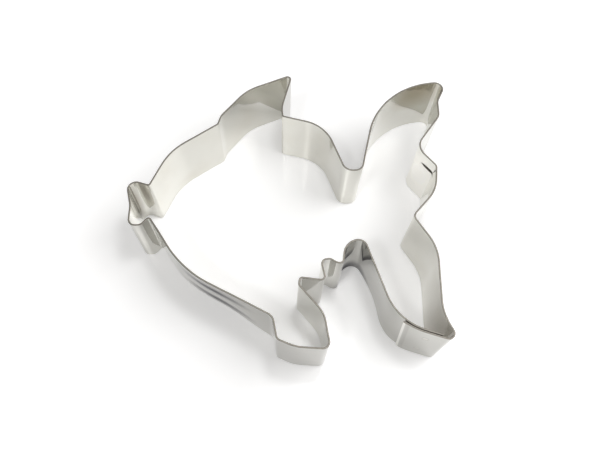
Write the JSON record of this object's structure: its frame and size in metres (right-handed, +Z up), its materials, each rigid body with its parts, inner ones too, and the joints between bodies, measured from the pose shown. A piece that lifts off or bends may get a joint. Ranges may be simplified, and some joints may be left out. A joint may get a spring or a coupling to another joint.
{
  "type": "cookie cutter",
  "caption": "Fish-shaped cookie cutter: an open band of thin bright steel bent on edge to a finned outline, its ends lapped and spot-welded under the tail.",
  "frame": {"origin": "under the middle of the outline's bounding box, on the surface that the cutter stands on", "axes": "+X from the mouth to the tail, +Y to the dorsal fin, +Z up along the band's height"},
  "size_m": [0.1048, 0.0944, 0.022],
  "materials": {
    "sheet_steel": "bright rolled sheet, lightly smudged",
    "weld_steel": "dull pressed spot"
  },
  "bodies": {
    "root": {"cutter_band": "sheet_steel", "spot_weld_upper": "weld_steel", "spot_weld_lower": "weld_steel"}
  },
  "joints": []
}
